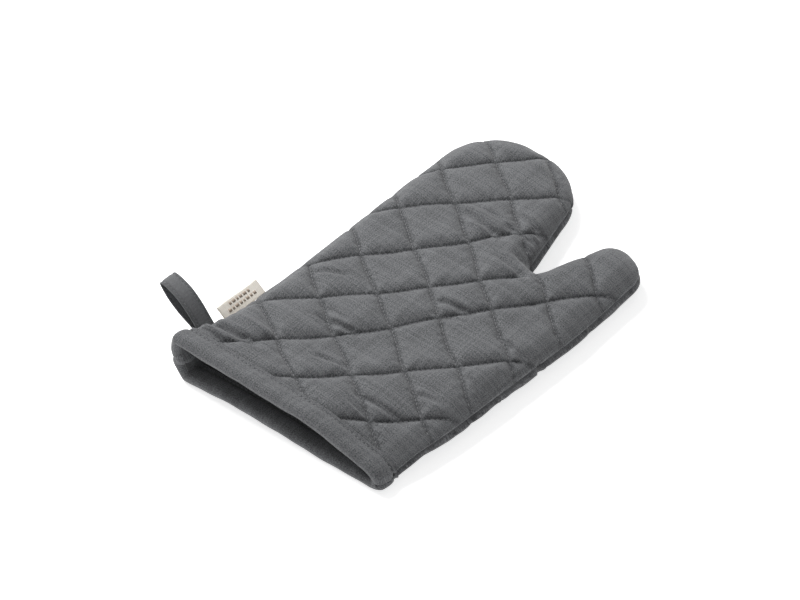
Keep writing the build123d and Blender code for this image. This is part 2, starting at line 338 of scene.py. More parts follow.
def skin(side, points, bulge=None):
    """Where a panel's resting surface is, over points of its flat pattern."""
    distance, place = nearest(points, SEAM_RUN)
    outward = unit(place - points)
    outward[distance < 1e-6] = 0
    near = 1 - smooth(points[:, 1], CUFF, CUFF + 60)
    share = across(points)
    seam = seam_height(points)
    lift = BACK_LIFT * (1 - smooth(points[:, 1], CUFF, CUFF + 34))
    lift = lift * np.exp(-(((share - 0.33) / 0.27) ** 2))
    height = (top_height(points) - seam) if side == "palm" else seam - 0.4 - lift
    roll = ROLL[side] - near * ((ROLL[side] - CUFF_ROLL) * (1 - share) + 2.0 * share)
    rise = np.sqrt(np.clip(1 - (1 - np.clip(distance / roll, 0, 1)) ** 2, 0, 1))
    shift = (BULGE[side] if bulge is None else bulge) * np.sin(math.pi * rise**0.5)
    flat = points + outward * shift[:, None]
    level = seam + height * rise if side == "palm" else seam - height * rise
    flat[:, 0] -= CUFF_FLARE * near**2 * (1 - share) * level / TOP
    flat[:, 1] += CUFF_SLANT * near * share
    return np.column_stack([flat, level])


def cloth_place(side, points):
    """Places in millimetres on the flat cloth, which a panel's rolled edge lets run on further."""
    distance, place = nearest(points, SEAM_RUN)
    outward = unit(place - points)
    outward[distance < 1e-6] = 0
    extra = ROLL_RUN * (1 - np.clip(distance / ROLL[side], 0, 1)) ** 2
    return points + outward * extra[:, None]


def wander(along, number):
    """How far a quilting row strays sideways from its straight line."""
    return 0.7 * np.sin(along / 17 + 2.1 * number) + 0.5 * np.sin(along / 7.3 + number)


def row_ways(side):
    """Each quilting row's number, direction, left-hand normal and distance from the origin."""
    for number, (angle, distance) in enumerate(ROWS[side]):
        way = np.array([math.cos(math.radians(angle)), math.sin(math.radians(angle))])
        yield number, way, np.array([-way[1], way[0]]), distance


def row_lines(side):
    """Each quilting row as a line of points, well past the outline."""
    along = np.arange(-230.0, 230.0, 2.6)
    for number, way, normal, distance in row_ways(side):
        sideways = distance + wander(along, number)
        yield along[:, None] * way + sideways[:, None] * normal


# ---------------------------------------------------------------- the flat pattern
class Pattern:
    """A panel's flat cloth as a mesh of triangles whose edges follow seams and quilting rows."""

    EDGE_STEPS = (0.2, 0.7, 1.6, 3.0, 5.0, 7.4)
    STEP = 2.7
    FLANK = 1.4

    def __init__(self, side):
        self.side = side
        mouth_y = CUFF + 2.0
        seam = spaced(SEAM, self.STEP)
        self.seam = seam[seam[:, 1] > mouth_y + 1.0]
        ends = SEAM[0].copy(), SEAM[-1].copy()
        for end in ends:
            end[1] = mouth_y
        self.mouth = spaced(np.array([ends[1], ends[0]]), self.STEP)
        ring = np.vstack([self.seam, self.mouth])
        points = [ring]
        count = len(ring)
        edges = [(i, (i + 1) % count) for i in range(count)]
        kinds = ["edge"] * count
        for kind, line in [*self._rows(ring), self._thumb_cut(ring)]:
            edges += [(count + i, count + i + 1) for i in range(len(line) - 1)]
            kinds += [kind] * (len(line) - 1)
            points.append(line)
            count += len(line)
        flanks = np.vstack([self._flanks(ring, line) for line in points[1:-1]])
        points.append(flanks[self._spread(flanks)])
        fixed = np.vstack(points[1:])
        free = self._free_points(ring)
        gap = np.array([np.min(np.hypot(*(fixed - point).T)) for point in free])
        points.append(free[gap > 1.3])
        self._triangulate(np.vstack(points), edges, kinds, ring)

    def _rows(self, ring):
        """The quilting rows, cut to stop just short of the seam and at the binding."""
        for number, line in enumerate(row_lines(self.side)):
            keep = inside(line, ring) & (line[:, 1] > BINDING_END - 0.5)
            if self.side == "palm" and number == SHORT_ROW:
                keep &= line[:, 0] < SHORT_ROW_END
            keep &= nearest(line, SEAM_RUN)[0] > 0.9
            starts = np.flatnonzero(np.diff(np.r_[0, keep.astype(int), 0]))
            for first, last in zip(starts[::2], starts[1::2]):
                if last - first > 2:
                    yield "row", line[first:last]

    def _thumb_cut(self, ring):
        """The line from the fork to the thumb's outer side where the thumb's cloth begins."""
        start = ring[np.argmin(np.linalg.norm(ring - FORK_FLOOR, axis=1))]
        line = start + np.arange(1.0, 140.0)[:, None] * THUMB_WAY
        last = line[inside(line, ring)][-1]
        end = ring[np.argmin(np.linalg.norm(ring - last, axis=1))]
        self.cut = start, end
        return "cut", spaced(np.array([start, end]), self.STEP)

    def _flanks(self, ring, line):
        """Points close on both sides of a row, for the steep walls of its groove."""
        way = unit(np.gradient(line, axis=0))
        sideways = np.stack([-way[:, 1], way[:, 0]], 1) * self.FLANK
        beside = np.vstack([line + sideways, line - sideways])
        keep = inside(beside, ring) & (nearest(beside, SEAM_RUN)[0] > 2.2)
        keep &= beside[:, 1] > BINDING_END + 0.8
        keep &= row_distance(self.side, beside) > 0.8 * self.FLANK
        return beside[keep]

    def _spread(self, points):
        """Which points to keep so that none is close to an earlier one."""
        kept = []
        for number, point in enumerate(points):
            if not kept or np.min(np.hypot(*(points[kept] - point).T)) > 1.2:
                kept.append(number)
        return kept

    def _free_points(self, ring):
        """Rings of points near the seam, where the cloth rolls, and an even field within."""
        found = []
        seam = np.vstack([SEAM[:1], self.seam])
        way = unit(np.gradient(seam, axis=0))
        inward = np.stack([way[:, 1], -way[:, 0]], 1)
        for step in self.EDGE_STEPS:
            candidates = seam + inward * step
            far = nearest(candidates, SEAM_RUN)[0]
            keep = (far > step * 0.93) & inside(candidates, ring)
            keep &= candidates[:, 1] > self.mouth[0, 1] + 1.3
            found.append(candidates[keep])
        step = self.STEP
        across_, up = np.meshgrid(np.arange(LEFT, RIGHT, step), np.arange(CUFF, TIP, step * 0.866))
        across_[1::2] += step / 2
        field = np.column_stack([across_.ravel(), up.ravel()])
        field = field[inside(field, ring)]
        field = field[nearest(field, SEAM_RUN)[0] > self.EDGE_STEPS[-1] + 1.6]
        field = field[field[:, 1] > self.mouth[0, 1] + 1.6]
        return np.vstack(found + [field])

    def _triangulate(self, points, edges, kinds, ring):
        """Joins the points up, and keeps the triangles inside the outline."""
        corners = [Vector(point) for point in points]
        verts, lines, faces, _, sources, _ = delaunay_2d_cdt(corners, edges, [], 0, 1e-4, True)
        self.flat = np.array([tuple(vert) for vert in verts])
        faces = np.array(faces)
        a, b, c = (self.flat[faces[:, i]] for i in range(3))
        area = (b[:, 0] - a[:, 0]) * (c[:, 1] - a[:, 1]) - (b[:, 1] - a[:, 1]) * (c[:, 0] - a[:, 0])
        faces[area < 0] = faces[area < 0][:, ::-1]
        self.faces = faces[inside((a + b + c) / 3, ring) & (np.abs(area) > 1e-3)]
        self.row_edges = np.array(
            [line for line, source in zip(lines, sources) if any(kinds[i] == "row" for i in source)]
        )
        self.on_row = np.zeros(len(self.flat), bool)
        self.on_row[self.row_edges.ravel()] = True
        self.on_edge = nearest(self.flat, np.vstack([ring, ring[:1]]))[0] < 1e-3

    def is_thumb(self, points):
        """Whether points of the flat pattern belong to the thumb's piece of cloth."""
        start, end = self.cut
        way = unit(end - start)
        beyond = (points - start) @ np.array([-way[1], way[0]]) > 0
        return beyond & (points[:, 0] > start[0])


# ---------------------------------------------------------------- meshes as arrays
def triangle_edges(faces):
    """The edges, which three each face has, and how many faces share each."""
    pairs = np.sort(np.vstack([faces[:, [0, 1]], faces[:, [1, 2]], faces[:, [2, 0]]]), axis=1)
    edges, back, uses = np.unique(pairs, axis=0, return_inverse=True, return_counts=True)
    return edges, back.reshape(3, -1).T, uses


def halved(values, edges):
    """Values at the vertices and then at the middle of each edge."""
    return np.concatenate([values, (values[edges[:, 0]] + values[edges[:, 1]]) / 2])


def split_faces(faces, of_face, count):
    """Each triangle cut into four at the middles of its edges."""
    m = of_face + count
    a, b, c = faces.T
    cut = [(a, m[:, 0], m[:, 2]), (b, m[:, 1], m[:, 0]), (c, m[:, 2], m[:, 1]), tuple(m.T)]
    return np.vstack([np.column_stack(corners) for corners in cut])


def subdivided(points, faces, held):
    """Loop's subdivision of a triangle mesh, with the held vertices left where they are."""
    edges, of_face, uses = triangle_edges(faces)
    a, b = points[edges[:, 0]], points[edges[:, 1]]
    opposite = np.zeros_like(a)
    for corner, edge in ((2, 0), (0, 1), (1, 2)):
        np.add.at(opposite, of_face[:, edge], points[faces[:, corner]])
    firm = ((uses != 2) | (held[edges[:, 0]] & held[edges[:, 1]]))[:, None]
    middle = np.where(firm, (a + b) / 2, 0.375 * (a + b) + 0.125 * opposite)
    total = np.zeros_like(points)
    np.add.at(total, edges[:, 0], b)
    np.add.at(total, edges[:, 1], a)
    valence = np.maximum(np.bincount(edges.ravel(), minlength=len(points)), 3)[:, None]
    beta = np.where(valence > 3, 3 / (8 * valence), 3 / 16)
    moved = np.where(held[:, None], points, points * (1 - valence * beta) + beta * total)
    return np.concatenate([moved, middle]), split_faces(faces, of_face, len(points)), edges


def normals_of(points, faces):
    """Each vertex's outward direction, from the faces round it."""
    a, b, c = (points[faces[:, i]] for i in range(3))
    across_face = np.cross(b - a, c - a)
    total = np.zeros_like(points)
    for corner in range(3):
        np.add.at(total, faces[:, corner], across_face)
    return unit(total)


# ---------------------------------------------------------------- the padding's simulation
def row_distance(side, flat):
    """How far points of the flat pattern are from the nearest quilting row."""
    best = np.full(len(flat), np.inf)
    for number, way, normal, distance in row_ways(side):
        off = np.abs(flat @ normal - distance - wander(flat @ way, number))
        if side == "palm" and number == SHORT_ROW:
            off = off + 40.0 * smooth(flat[:, 0], SHORT_ROW_END - 2.0, SHORT_ROW_END + 10.0)
        best = np.minimum(best, off)
    return best


def padded_start(side, pattern):
    """A panel before it swells: sunk along the rows, a little proud between them.

    Also its faces, and how far each point is from a row or from the crease at the binding.
    """
    base = skin(side, pattern.flat)
    faces = pattern.faces if side == "palm" else pattern.faces[:, ::-1]
    normals = normals_of(base, faces)
    gap = row_distance(side, pattern.flat)
    inset = nearest(pattern.flat, SEAM_RUN)[0]
    under_binding = 1 - smooth(pattern.flat[:, 1], BINDING_END - 1.0, BINDING_END)
    x, y = pattern.flat.T
    crease = np.maximum(y - BINDING_END, 0)
    sink = GROOVE[side] * np.exp(-gap / GROOVE_WIDTH) * smooth(crease, -1.0, 2.5)
    sink = np.maximum(sink, CREASE_DEPTH * np.exp(-crease / CREASE_WIDTH))
    sink = sink * (1 - under_binding) + 0.3 * under_binding
    fill = 1 + 0.4 * np.sin(x / 23 + 1.2) * np.sin(y / 27 + 0.4) + 0.25 * np.sin(x / 11 - y / 15)
    puff = PUFF[side] * fill * (1 - np.exp(-((gap / 5) ** 2))) * smooth(inset, 1.0, 15.0)
    puff = puff * (1 - np.exp(-((crease / 3.5) ** 2)))
    lift = puff - sink * smooth(inset, 0.0, 6.0)
    return base + normals * lift[:, None], faces, np.minimum(gap, 0.6 * crease)


def swollen(palm, back):
    """Both covers after a cloth simulation, as one closed bag held along its seams and rows."""
    count = len(palm.start)
    a, b = palm.mouth(), back.mouth() + count
    cap = [(a[i], a[i + 1], b[i + 1], b[i]) for i in range(len(a) - 1)]
    faces = palm.faces.tolist() + (back.faces + count).tolist() + cap
    points = np.vstack([palm.start, back.start])
    bag = add_mesh("bag", points, faces)
    group = bag.vertex_groups.new(name="held")
    held = np.r_[palm.held, back.held]
    group.add(np.flatnonzero(held).tolist(), 1.0, "REPLACE")
    cloth = bag.modifiers.new("Cloth", "CLOTH")
    settings = cloth.settings
    settings.quality = 6
    settings.mass = 0.02
    settings.tension_stiffness = settings.compression_stiffness = 12
    settings.shear_stiffness = 4
    settings.bending_stiffness = 1.0
    settings.shrink_min = -CLOTH_SLACK
    settings.use_pressure = True
    settings.uniform_pressure_force = CLOTH_PRESSURE
    settings.vertex_group_mass = "held"
    settings.effector_weights.gravity = 0
    cloth.collision_settings.use_collision = False
    cloth.point_cache.frame_start, cloth.point_cache.frame_end = 1, CLOTH_FRAMES
    for number in range(1, CLOTH_FRAMES + 1):
        bpy.context.scene.frame_set(number)
    mesh = bpy.data.meshes.new_from_object(bag.evaluated_get(bpy.context.evaluated_depsgraph_get()))
    found = np.empty(len(points) * 3)
    mesh.vertices.foreach_get("co", found)
    bpy.context.scene.frame_set(1)
    bpy.data.objects.remove(bag)
    moved = found.reshape(-1, 3) / MM - points
    length = np.linalg.norm(moved, axis=1, keepdims=True)
    moved = moved * np.minimum(1, CLOTH_CAP / np.maximum(length, 1e-6))
    return moved[:count] * CLOTH_SHARE, moved[count:]


def evened(moved, faces, held):
    """The cloth's movement with its smallest crumples smoothed away."""
    edges = triangle_edges(faces)[0]
    count = np.bincount(edges.ravel(), minlength=len(moved))[:, None]
    for _ in range(CLOTH_SMOOTHING):
        total = np.zeros_like(moved)
        np.add.at(total, edges[:, 0], moved[edges[:, 1]])
        np.add.at(total, edges[:, 1], moved[edges[:, 0]])
        moved = np.where(held[:, None], 0, 0.4 * moved + 0.6 * total / np.maximum(count, 1))
    return moved


class Panel:
    """One side of the mitt: its flat pattern and where its cover, wadding and lining lie."""

    def __init__(self, side):
        self.side = side
        self.pattern = Pattern(side)
        self.flat = self.pattern.flat
        self.start, self.faces, self.gap = padded_start(side, self.pattern)
        self.held = self.pattern.on_row | self.pattern.on_edge | (self.flat[:, 1] < BINDING_END + 0.3)

    def mouth(self):
        """The vertices along the mouth, from the straight side to the thumb's."""
        found = np.flatnonzero(self.pattern.on_edge & (self.flat[:, 1] < CUFF + 2.01))
        return found[np.argsort(self.flat[found, 0])]

    def finish_cover(self, moved):
        """The cover's fine surface: the swollen one made smooth, with its folds and puckers."""
        firm = self.pattern.on_row | self.pattern.on_edge
        self.cover = self.start + evened(moved, self.faces, self.held)
        self.fine, self.fine_faces, edges = subdivided(self.cover, self.faces, firm)
        self.fine_flat = halved(self.flat, edges)
        self.fine_gap = halved(self.gap, edges)
        normals = normals_of(self.fine, self.fine_faces)
        edge = smooth(nearest(self.fine_flat, SEAM_RUN)[0], 0.5, 7.0)
        edge = edge * smooth(self.fine_flat[:, 1], BINDING_END - 0.5, BINDING_END + 2.5)
        lift = puckers(self.side, self.fine_flat)
        self.spare = np.zeros(len(self.flat))
        if self.side == "palm":
            lift = lift + folds(self.fine_flat) * smooth(self.fine_gap, 0.2, 2.6)
            turns = np.linspace(0, 2 * math.pi, 9)[:-1]
            around = [folds(self.flat + 1.9 * np.array([math.cos(a), math.sin(a)])) for a in turns]
            self.spare = np.maximum(folds(self.flat) - np.min(around, axis=0), 0)
        self.fine = self.fine + normals * (lift * edge)[:, None]
        if self.side == "back":
            self.fine[:, 2] = np.maximum(self.fine[:, 2], FLOOR_GAP)
        self.fine_normals = normals_of(self.fine, self.fine_faces)
        self.cover = self.fine[: len(self.flat)]
        self.normals = self.fine_normals[: len(self.flat)]

    def lining_face(self):
        """The lining's face against the wadding, held up to the cover along the rows."""
        base = skin(self.side, self.flat, bulge=0.0)
        normals = normals_of(base, self.faces)
        puff = 1 - np.exp(-((self.gap / 7) ** 2))
        depth = LINING_DEPTH["row"] + (LINING_DEPTH["pillow"] - LINING_DEPTH["row"]) * puff
        sunk = np.einsum("ij,ij->i", base - self.cover, normals)
        depth = np.maximum(depth, sunk + COVER + 1.4 + self.spare)
        face = base - normals * depth[:, None]
        seam = seam_height(self.flat)
        if self.side == "palm":
            face[:, 2] = np.maximum(face[:, 2], seam + 0.4 + LINING)
        else:
            face[:, 2] = np.minimum(face[:, 2], seam - 0.4 - LINING)
        return face, normals_of(face, self.faces)


def puckers(side, flat):
    """The small gathers that run out from each row of stitches, stronger in some places."""
    lift = np.zeros(len(flat))
    for number, way, normal, distance in row_ways(side):
        along = flat @ way
        off = flat @ normal - distance - wander(along, number)
        phase = along * 0.82 + 1.9 * np.sin(along / 11 + number) + 0.9 * np.sin(along / 4.3 + 2 * number)
        wave = np.sin(phase + 0.11 * off)
        strength = 0.55 + 0.45 * np.sin(along / 9.1 + 1.7 * number + np.sign(off))
        off = np.abs(off)
        lift += PUCKER * strength * wave * np.exp(-((off / 6) ** 2)) * (1 - np.exp(-((off / 1.5) ** 2)))
    return lift


def folds(flat):
    """The creases pressed into the palm, each with a low ridge on both sides."""
    lift = np.zeros(len(flat))
    for start, end, width, depth in FOLDS:
        start, end = np.array(start, float), np.array(end, float)
        way = end - start
        length = np.linalg.norm(way)
        way = way / length
        along = (flat - start) @ way / length
        off = (flat - start) @ np.array([-way[1], way[0]]) + 0.06 * length * (along - 0.5) ** 2
        ends = smooth(along, -0.25, 0.25) * (1 - smooth(along, 0.75, 1.25))
        valley = np.exp(-((off / width) ** 2))
        ridge = 0.35 * np.exp(-(((np.abs(off) - 2 * width) / width) ** 2))
        lift += depth * ends * (ridge - valley)
    return lift


# ---------------------------------------------------------------- pieces from arrays
def add_mesh(name, points, faces, uv=None, gap=None, material=None):
    """A mesh object from points in millimetres, with its cloth's own places as a UV map."""
    mesh = bpy.data.meshes.new(name)
    mesh.from_pydata((np.asarray(points) * MM).tolist(), [], faces)
    mesh.polygons.foreach_set("use_smooth", [True] * len(mesh.polygons))
    if uv is not None:
        corner = np.empty(len(mesh.loops), int)
        mesh.loops.foreach_get("vertex_index", corner)
        mesh.uv_layers.new(name="cloth").data.foreach_set("uv", (uv[corner] / UV_SIZE).ravel())
    if gap is not None:
        mesh.attributes.new("gap", "FLOAT", "POINT").data.foreach_set("value", gap)
    if material is not None:
        mesh.materials.append(material)
    piece = bpy.data.objects.new(name, mesh)
    bpy.context.collection.objects.link(piece)
    return piece


def add_shell(name, top, bottom, faces, normals, uv, gap, material):
    """A closed layer of cloth between two surfaces, shaded by its whole panel's normals."""
    used = np.unique(faces)
    place = np.full(len(top), -1)
    place[used] = np.arange(len(used))
    faces, count = place[faces], len(used)
    pairs = np.vstack([faces[:, [0, 1]], faces[:, [1, 2]], faces[:, [2, 0]]])
    known = {(a, b) for a, b in pairs.tolist()}
    rim = np.array([pair for pair in known if pair[::-1] not in known])
    rim = rim[np.lexsort((rim[:, 1], rim[:, 0]))]
    walls = np.column_stack([rim[:, 1], rim[:, 0], rim[:, 0] + count, rim[:, 1] + count])
    every = faces.tolist() + (faces[:, ::-1] + count).tolist() + walls.tolist()
    points = np.vstack([top[used], bottom[used]])
    piece = add_mesh(name, points, every, np.tile(uv[used], (2, 1)), np.tile(gap[used], 2), material)
    turned = np.vstack([normals[used], -normals[used]])
    piece.data.normals_split_custom_set_from_vertices(turned.tolist())
    return piece


def shoelace(flat, faces):
    """The area of a flat pattern's triangles, in square millimetres."""
    a, b, c = (flat[faces[:, i]] for i in range(3))
    return np.abs(np.cross(b - a, c - a)).sum() / 2


# ---------------------------------------------------------------- how pieces are baked in place
def ride_main(piece):
    """Bakes the piece's place into its mesh."""
    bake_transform(piece)


def by_part(is_thumb):
    """The two pieces of a layer: the end of each one's name, and which faces or edges it has."""
    return ("", ~is_thumb), ("_thumb", is_thumb)


def ride_part(piece, pattern, part):
    """Bakes one of a layer's two pieces in place, through the thumb's function or the hand's."""
    if part:
        ride_thumb(piece, pattern)
    else:
        ride_main(piece)


def ride_thumb(piece, pattern):
    """Bakes the thumb piece's place into its mesh; where a bend past its cut would begin and end is worked
    out but not used.
    """
    start, end = pattern.cut
    reach = max(start @ THUMB_OUT, end @ THUMB_OUT) + 0.3
    begin = start + THUMB_OUT * (reach - start @ THUMB_OUT)
    finish = begin + THUMB_OUT * THUMB_BEND
    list(begin * MM)
    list(finish * MM)
    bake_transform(piece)


# ---------------------------------------------------------------- stitches
def stitch_tree():
    """A node group that lays stitches, evenly spaced, along the edges of a mesh of lines."""
    tree = bpy.data.node_groups.new("stitches", "GeometryNodeTree")
    face = tree.interface
    face.new_socket("Lines", in_out="INPUT", socket_type="NodeSocketGeometry")
    for name in ("Pitch", "Length", "Thickness"):
        face.new_socket(name, in_out="INPUT", socket_type="NodeSocketFloat")
    face.new_socket("Thread", in_out="INPUT", socket_type="NodeSocketMaterial")
    face.new_socket("Stitches", in_out="OUTPUT", socket_type="NodeSocketGeometry")
    nodes, link = tree.nodes, tree.links.new

    def node(kind, settings=(), values=(), links=()):
        """Any node: its settings first, then its inputs' values and links."""
        made = nodes.new(kind)
        for name, value in dict(settings).items():
            setattr(made, name, value)
        for name, value in dict(values).items():
            made.inputs[name].default_value = value
        for name, source in dict(links).items():
            link(source, made.inputs[name])
        return made

    given = node("NodeGroupInput").outputs
    curve = node("GeometryNodeMeshToCurve", links={"Mesh": given["Lines"]})
    even = node(
        "GeometryNodeResampleCurve",
        {"mode": "LENGTH"},
        links={"Curve": curve.outputs["Curve"], "Length": given["Pitch"]},
    )
    ends = node("GeometryNodeCurveEndpointSelection", values={"Start Size": 1, "End Size": 1})
    middle = node("FunctionNodeBooleanMath", {"operation": "NOT"}, links={0: ends.outputs["Selection"]})
    ball = node("GeometryNodeMeshUVSphere", values={"Segments": 6, "Rings": 5, "Radius": 0.5})
    size = node(
        "ShaderNodeCombineXYZ",
        links={"X": given["Length"], "Y": given["Thickness"], "Z": given["Thickness"]},
    )
    stitch = node(
        "GeometryNodeTransform",
        links={"Geometry": ball.outputs["Mesh"], "Scale": size.outputs["Vector"]},
    )
    tangent = node("GeometryNodeInputTangent")
    along = node(
        "FunctionNodeAlignRotationToVector",
        {"axis": "X"},
        links={"Vector": tangent.outputs["Tangent"]},
    )
    up = node("GeometryNodeInputNamedAttribute", {"data_type": "FLOAT_VECTOR"}, {"Name": "up"})
    turned = node(
        "FunctionNodeAlignRotationToVector",
        {"axis": "Z", "pivot_axis": "X"},
        links={"Rotation": along.outputs["Rotation"], "Vector": up.outputs["Attribute"]},
    )
    sizes = node("FunctionNodeRandomValue", {"data_type": "FLOAT"}, {"Seed": 7})
    sizes.inputs["Min"].default_value = 0.9
    sizes.inputs["Max"].default_value = 1.08
    set_out = node(
        "GeometryNodeInstanceOnPoints",
        links={
            "Points": even.outputs["Curve"],
            "Selection": middle.outputs[0],
            "Instance": stitch.outputs["Geometry"],
            "Rotation": turned.outputs["Rotation"],
            "Scale": next(out for out in sizes.outputs if out.type == "VALUE" and out.enabled),
        },
    )
    real = node("GeometryNodeRealizeInstances", links={"Geometry": set_out.outputs["Instances"]})
    soft = node("GeometryNodeSetShadeSmooth", links={"Geometry": real.outputs["Geometry"]})
    dyed = node(
        "GeometryNodeSetMaterial",
        links={"Geometry": soft.outputs[0], "Material": given["Thread"]},
    )
    node("NodeGroupOutput", links={"Stitches": dyed.outputs["Geometry"]})
    return tree


def sew(name, points, edges, ups, material, pitch, length, thickness):
    """Stitches along lines of points, each with the direction that its stitches stand in."""
    mesh = bpy.data.meshes.new(name)
    mesh.from_pydata((np.asarray(points) * MM).tolist(), np.asarray(edges).tolist(), [])
    mesh.attributes.new("up", "FLOAT_VECTOR", "POINT").data.foreach_set("vector", np.ravel(ups))
    lines = bpy.data.objects.new(name + "_lines", mesh)
    bpy.context.collection.objects.link(lines)
    modifier = lines.modifiers.new("stitches", "NODES")
    modifier.node_group = STITCHES
    given = {"Pitch": pitch * MM, "Length": length * MM, "Thickness": thickness * MM, "Thread": material}
    for socket in STITCHES.interface.items_tree:
        if socket.name in given:
            modifier[socket.identifier] = given[socket.name]
    bpy.context.view_layer.update()
    made = bpy.data.meshes.new_from_object(lines.evaluated_get(bpy.context.evaluated_depsgraph_get()))
    made.name = name
    bpy.data.objects.remove(lines)
    piece = bpy.data.objects.new(name, made)
    bpy.context.collection.objects.link(piece)
    return piece


def chain(count, closed=False):
    """The edges that join points in a row."""
    edges = [(i, i + 1) for i in range(count - 1)]
    return edges + [(count - 1, 0)] if closed else edges


# ---------------------------------------------------------------- shader maths
class Value:
    """A shader socket that Python arithmetic works on, by adding Math nodes."""

    def __init__(self, shader, socket):
        self.shader, self.socket = shader, socket

    def maths(self, operation, *others):
        """This value through a Math node, with the others as its further inputs."""
        inputs = dict(enumerate((self, *others)))
        return self.shader.node("ShaderNodeMath", {"operation": operation}, inputs)

    def __add__(self, other):
        return self.maths("ADD", other)

    __radd__ = __add__

    def __sub__(self, other):
        return self.maths("SUBTRACT", other)

    def __rsub__(self, other):
        return self * -1 + other

    def __mul__(self, other):
        return self.maths("MULTIPLY", other)

    __rmul__ = __mul__

    def __truediv__(self, other):
        return self.maths("DIVIDE", other)


class Shader:
    """A material being wired up, with its Principled surface's steady values set first."""

    def __init__(self, name, **steady):
        self.material = bpy.data.materials.new(name)
        self.material.use_nodes = True
        self.tree = self.material.node_tree
        self.surface = self.tree.nodes["Principled BSDF"]
        for socket, value in steady.items():
            self.surface.inputs[socket.replace("_", " ")].default_value = value

    def node(self, kind, settings=(), inputs=(), output=0):
        """Any node: its settings first, then its inputs' values or links, and one output."""
        made = self.tree.nodes.new(kind)
        for name, value in dict(settings).items():
            setattr(made, name, value)
        for name, value in dict(inputs).items():
            if isinstance(value, Value):
                self.tree.links.new(value.socket, made.inputs[name])
            else:
                made.inputs[name].default_value = value
        return Value(self, made.outputs[output])

    def feed(self, socket, value):
        """Leads a value that changes over the surface to the Principled node."""
        self.tree.links.new(value.socket, self.surface.inputs[socket])

    def blend(self, share, low, high):
        """A colour between two others."""
        settings = {"data_type": "RGBA"}
        return self.node("ShaderNodeMix", settings, {0: share, 6: low, 7: high}, output=2)

    def noise(self, place, scale, detail=2.0, roughness=0.5):
        """Soft random values from 0 to 1."""
        inputs = {"Vector": place, "Scale": scale, "Detail": detail, "Roughness": roughness}
        return self.node("ShaderNodeTexNoise", (), inputs)

    def thread(self, number):
        """One random value for each thread number."""
        return self.node("ShaderNodeTexWhiteNoise", {"noise_dimensions": "1D"}, {"W": number})

    def vector(self, x, y):
        """A place from its first two coordinates."""
        return self.node("ShaderNodeCombineXYZ", (), {0: x, 1: y})

    def axes(self, place):
        """A place's first two coordinates."""
        split = self.node("ShaderNodeSeparateXYZ", (), {0: place})
        return split, Value(self, split.socket.node.outputs[1])

    def bump(self, height, depth):
        """A bump of a real depth, in millimetres, on the surface."""
        inputs = {"Height": height, "Distance": depth * MM, "Strength": 1.0}
        self.feed("Normal", self.node("ShaderNodeBump", (), inputs))


def plain_weave(shader, u, v):
    """Threads over and under one another: each crossing's height, and its upper thread's shade."""
    column, row = u.maths("FLOOR"), v.maths("FLOOR")
    over = (column + row).maths("PINGPONG", 1.0).maths("GREATER_THAN", 0.5)
    a, b = u.maths("FRACT") - 0.5, v.maths("FRACT") - 0.5
    beside = over * a + (1 - over) * b
    along = over * b + (1 - over) * a
    round_off = 1 - (beside * beside) * 3.2
    height = round_off * (along * math.pi).maths("COSINE")
    shade = over * shader.thread(column) + (1 - over) * shader.thread(row + 411.0)
    return height, shade


def cloth(name, dark, light, pitch, depth, fleck=1.0, groove_shade=0.0, rough=0.9):
    """A woven cloth whose threads differ in shade, with short fibres and, where asked, shade painted into the
    grooves along its quilting rows.
    """
    shader = Shader(name, Sheen_Weight=0.18, Sheen_Roughness=0.45, Specular_IOR_Level=0.2)
    place = shader.node("ShaderNodeUVMap", {"uv_map": "cloth"})
    u, v = shader.axes(place)
    u, v = u * UV_SIZE, v * UV_SIZE
    height, shade = plain_weave(shader, u / pitch, v / pitch)
    warp = shader.noise(shader.vector(u * 1.7, v * 0.9), 1.0, 2.0, 0.6)
    weft = shader.noise(shader.vector(u * 0.9 + 37.0, v * 1.7), 1.0, 2.0, 0.6)
    clouds = shader.noise(shader.vector(u, v), 0.045, 2.0)
    fibres = shader.noise(shader.vector(u, v), 2.6, 3.0, 0.7)
    tone = 0.5 + (warp + weft - 1.0) * (0.9 * fleck) + (shade - 0.5) * 0.45 + (height - 0.5) * 0.3
    tone = tone + (clouds - 0.5) * 0.2 + (fibres - 0.5) * 0.8
    if groove_shade:
        # Painted shade: the colour darkens within 2 mm of a quilting row or of the crease at the binding,
        # where the grooves lie in shade.
        gap = shader.node("ShaderNodeAttribute", {"attribute_name": "gap"}, (), output=2)
        tone = tone + (gap / 2.0).maths("MINIMUM", 1.0) * groove_shade - groove_shade
    tone = tone.maths("MINIMUM", 1.0).maths("MAXIMUM", 0.0)
    shader.feed("Base Color", shader.blend(tone, (*dark, 1), (*light, 1)))
    shader.feed("Roughness", rough + (fibres - 0.5) * 0.12)
    shader.bump(height * 0.6 + fibres * 0.7 + (warp + weft) * 0.5, depth)
    return shader.material


def ridged(name, dark, light, spacing, depth):
    """A strong narrow twill tape, with slanting ridges across its UV map."""
    shader = Shader(name, Sheen_Weight=0.15, Specular_IOR_Level=0.25)
    place = shader.node("ShaderNodeUVMap", {"uv_map": "cloth"})
    u, v = shader.axes(place)
    u, v = u * UV_SIZE, v * UV_SIZE
    ridge = ((u + v) * (2 * math.pi / spacing)).maths("SINE")
    fibres = shader.noise(shader.vector(u, v), 2.4, 3.0, 0.7)
    fleck = shader.noise(shader.vector(u * 0.5, v * 2.0), 1.0, 3.0, 0.6)
    tone = 0.5 + ridge * 0.16 + (fibres - 0.5) * 0.7 + (fleck - 0.5) * 0.9
    tone = tone.maths("MINIMUM", 1.0).maths("MAXIMUM", 0.0)
    shader.feed("Base Color", shader.blend(tone, (*dark, 1), (*light, 1)))
    shader.feed("Roughness", 0.88 + (fibres - 0.5) * 0.12)
    shader.bump(ridge * 0.5 + fibres, depth)
    return shader.material


